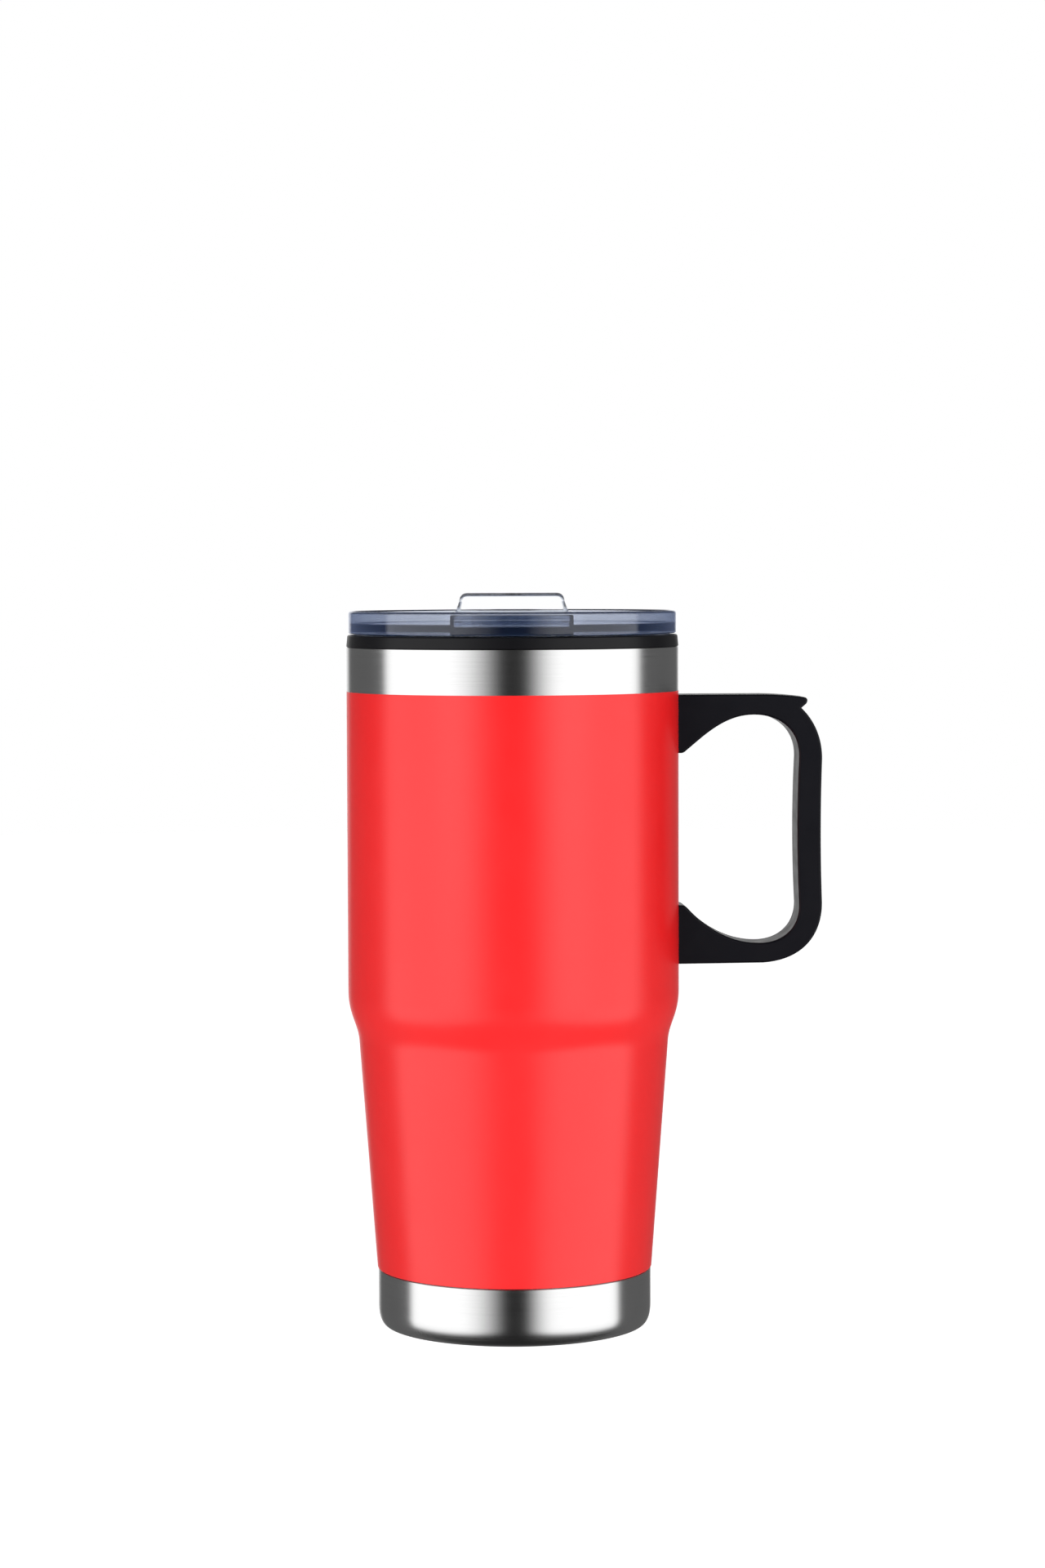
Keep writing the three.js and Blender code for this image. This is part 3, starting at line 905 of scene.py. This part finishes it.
SOFTBOX_DISTANCE = 1.2  # in metres, like every place of the camera and the lights


def from_camera_side(azimuth, distance, height):
    """A place round the mug. Azimuth 0 is in front of -Y and 90 on the +X side."""
    angle = math.radians(azimuth)
    return Vector((math.sin(angle) * distance, -math.cos(angle) * distance, height))


def camera():
    """The photo's camera: a little left of the front, just above the lid, looking slightly down."""
    azimuth = -3.5
    pitch = -3.13
    roll = -0.2
    distance = 1.0303
    height = 0.20215
    aside = 0.0026
    data = bpy.data.cameras.new("camera")
    data.lens = 88.1
    data.clip_end = 50
    viewer = bpy.data.objects.new("camera", data)
    bpy.context.scene.collection.objects.link(viewer)
    sideways = from_camera_side(azimuth + 90, aside, 0)
    viewer.location = from_camera_side(azimuth, distance, height) + sideways
    turn = Matrix.Rotation(math.radians(azimuth), 4, "Z")
    tilt = Matrix.Rotation(math.radians(90 + pitch), 4, "X")
    viewer.rotation_mode = "QUATERNION"
    lean = Matrix.Rotation(math.radians(roll), 4, "Z")
    viewer.rotation_quaternion = (turn @ tilt @ lean).to_quaternion()
    bpy.context.scene.camera = viewer


def softbox(name, azimuth, width, low, high, radiance, fades):
    """An upright rectangular light that faces the mug's axis, given by how bright it looks.

    Fades are the parts of its width that fade out at its left and its right, seen from the mug.
    """
    height = high - low
    data = bpy.data.lights.new(name, "AREA")
    data.shape = "RECTANGLE"
    data.size = width
    data.size_y = height
    data.energy = radiance * math.pi * width * height
    feather(data, fades)
    lamp = bpy.data.objects.new(name, data)
    bpy.context.scene.collection.objects.link(lamp)
    lamp.location = from_camera_side(azimuth, SOFTBOX_DISTANCE, (low + high) / 2)
    facing = -from_camera_side(azimuth, 1, 0)
    lamp.rotation_mode = "QUATERNION"
    lamp.rotation_quaternion = facing.to_track_quat("-Z", "Y")
    lamp.visible_camera = False
    return lamp


def feather(data, fades):
    """Lets a softbox fade out towards its edges, as its cloth does."""
    data.use_nodes = True
    tree = data.node_tree
    across = tree.nodes.new("ShaderNodeSeparateXYZ")
    place_on_light = tree.nodes.new("ShaderNodeNewGeometry").outputs["Parametric"]
    tree.links.new(place_on_light, across.inputs["Vector"])
    strength = tree.nodes["Emission"].inputs["Strength"]
    left, right = fades
    edges = (("X", 0, left), ("X", 1, 1 - right), ("Y", 0, 0.1), ("Y", 1, 0.9))
    for side, dark, bright in edges:
        fade = tree.nodes.new("ShaderNodeMapRange")
        fade.interpolation_type = "SMOOTHSTEP"
        fade.inputs["From Min"].default_value = dark
        fade.inputs["From Max"].default_value = bright
        tree.links.new(across.outputs[side], fade.inputs["Value"])
        product = tree.nodes.new("ShaderNodeMath")
        product.operation = "MULTIPLY"
        product.inputs[1].default_value = 1
        if strength.is_linked:
            tree.links.new(strength.links[0].from_socket, product.inputs[1])
        tree.links.new(fade.outputs["Result"], product.inputs[0])
        tree.links.new(product.outputs[0], strength)


def lights():
    """Two tall softboxes with a dark gap between them in front, which gloss shows, and matte fills.

    The softboxes fade out slowly towards the gap. The fills light only the colour under the gloss,
    and the front one hangs above the gap's height, so that it can't show in the gap.
    """
    box_low = -0.7
    box_high = 1.1
    box_radiance = 1.7
    for name, azimuth, width, fades in (
        ("left_softbox", -56, 2.6, (0.1, 0.45)),
        ("right_softbox", 50, 2.5, (0.34, 0.1)),
    ):
        box = softbox(name, azimuth, width, box_low, box_high, box_radiance, fades)
        box.visible_diffuse = False
    fill_width = 0.7
    fill_height = 1
    for name, azimuth, low, radiance in (
        ("left_fill", -40, -0.1, 3.2),
        ("front_fill", -3, 0.7, 5),
        ("right_fill", 34, -0.1, 3.2),
    ):
        fill = softbox(name, azimuth, fill_width, low, low + fill_height, radiance, (0.3, 0.3))
        fill.visible_glossy = False
    # The top one is made like the others and then hung over the mug, facing down.
    top = softbox("top_softbox", 0, 1, 0, 1, 0.4, (0.2, 0.2))
    top.location = Vector((0, 0.2, 1.5))
    top.rotation_quaternion = (1, 0, 0, 0)


def world():
    """The studio round the mug, by direction: white behind it, dim grey beside it, dark in front.

    The camera sees plain white all round. Clear plastic sees white to the front and the back.
    """
    studio = bpy.data.worlds.new("studio")
    studio.use_nodes = True
    tree = studio.node_tree
    place_node = tree.nodes.new("ShaderNodeTexCoord")
    axes = tree.nodes.new("ShaderNodeSeparateXYZ")
    tree.links.new(place_node.outputs["Generated"], axes.inputs["Vector"])
    back = axes.outputs["Y"]
    either = tree.nodes.new("ShaderNodeMath")
    either.operation = "ABSOLUTE"
    tree.links.new(back, either.inputs[0])
    in_gloss = [(-1, 0.01), (0, 0.03), (0.35, 0.14), (0.93, 0.14), (0.98, 1.1)]
    through_plastic = [(0, 0.75), (0.8, 0.8), (0.92, 1.06)]
    reflected = shade_by(tree, back, in_gloss)
    refracted = shade_by(tree, either.outputs[0], through_plastic)
    rays = tree.nodes.new("ShaderNodeLightPath")
    dim = tree.nodes.new("ShaderNodeValue")
    dim.outputs[0].default_value = 0.08
    lit = mix_by(tree, rays.outputs["Is Diffuse Ray"], reflected, dim.outputs[0])
    through = mix_by(tree, rays.outputs["Is Transmission Ray"], lit, refracted)
    white = tree.nodes.new("ShaderNodeValue")
    white.outputs[0].default_value = 1
    seen = mix_by(tree, rays.outputs["Is Camera Ray"], through, white.outputs[0])
    tree.links.new(seen, tree.nodes["Background"].inputs["Color"])
    bpy.context.scene.world = studio


def shade_by(tree, value, stops):
    """A grey level that follows a value from -1 to 1 through the stops (value, level)."""
    curve = tree.nodes.new("ShaderNodeFloatCurve")
    curve.inputs["Value"].default_value = 0
    levels = curve.mapping
    levels.use_clip = False
    levels.extend = "HORIZONTAL"
    points = levels.curves[0].points
    points[0].location = ((stops[0][0] + 1) / 2, stops[0][1])
    points[1].location = ((stops[-1][0] + 1) / 2, stops[-1][1])
    for at, level in stops[1:-1]:
        points.new((at + 1) / 2, level)
    for point in points:
        point.handle_type = "VECTOR"
    levels.update()
    half = tree.nodes.new("ShaderNodeMapRange")
    half.inputs["From Min"].default_value = -1
    tree.links.new(value, half.inputs["Value"])
    tree.links.new(half.outputs["Result"], curve.inputs["Value"])
    return curve.outputs["Value"]


def mix_by(tree, factor, first, second):
    """The first value where the factor is 0 and the second where it is 1."""
    mix = tree.nodes.new("ShaderNodeMix")
    tree.links.new(factor, mix.inputs["Factor"])
    tree.links.new(first, mix.inputs["A"])
    tree.links.new(second, mix.inputs["B"])
    return mix.outputs["Result"]


def floor():
    """A plain pale disc that glows, so that it stays near white, just under the mug's foot.

    It casts no shadow, so that the softboxes that reach below it light the base cup too.
    """
    ground = disc("floor", 2000, -1, 0, SMALL_STEPS)
    glow = {"emission_color": (1, 1, 1, 1), "emission_strength": 0.96}
    pale = Finish("pale_floor", (0.5, 0.5, 0.5), 0.6, **glow)
    pale.vary_roughness(pale.noise((30, 30, 30)), 0.55, 0.65)
    finished(ground, pale.material)
    ground.location.z = -0.02 * MM
    ground.visible_glossy = False
    ground.visible_shadow = False


# ---------------------------------------------------------------- assembly

camera()
world()
lights()
floor()

steel = brushed_steel()
zinc = zinc_plate()
haze = {"sheen_weight": 0.22, "sheen_roughness": 0.7, "sheen_tint": (0.18, 0.3, 0.7, 1)}
smoke = clear_plastic("smoke_clear_plastic", (0.25, 0.32, 0.45), 720, **haze)
clear = clear_plastic("clear_plastic", (0.70, 0.80, 0.95), 8)

place(finished(base_cup(), steel), "mug", "base_cup")
place(coated(outer_shell(), red_coat(), steel), "mug", "outer_shell")
place(finished(inner_liner(), black_plastic()), "mug", "inner_liner")
place(finished(liner_seal(), rubber()), "mug", "liner_seal")
place(finished(handle(), handle_plastic()), "mug", "handle")
for level in SCREW_HEIGHTS:
    place(finished(handle_screw(level), zinc), "mug", f"{level}_handle_screw")
    place(finished(backing_plate(level), zinc), "mug", f"{level}_backing_plate")
for piece, body, slot, material, node in (
    (lid_gasket(), "lid_seal", "silicone", silicone(), "lid_gasket"),
    (lid_body(), "lid", "smoke_clear_plastic", smoke, "lid_body"),
    (thumb_slider(), "slider", "clear_plastic", clear, "thumb_slider"),
):
    place(finished(turned(piece, LID_TURN, "Z"), material), body, node)

bpy.context.scene.view_settings.view_transform = "Standard"
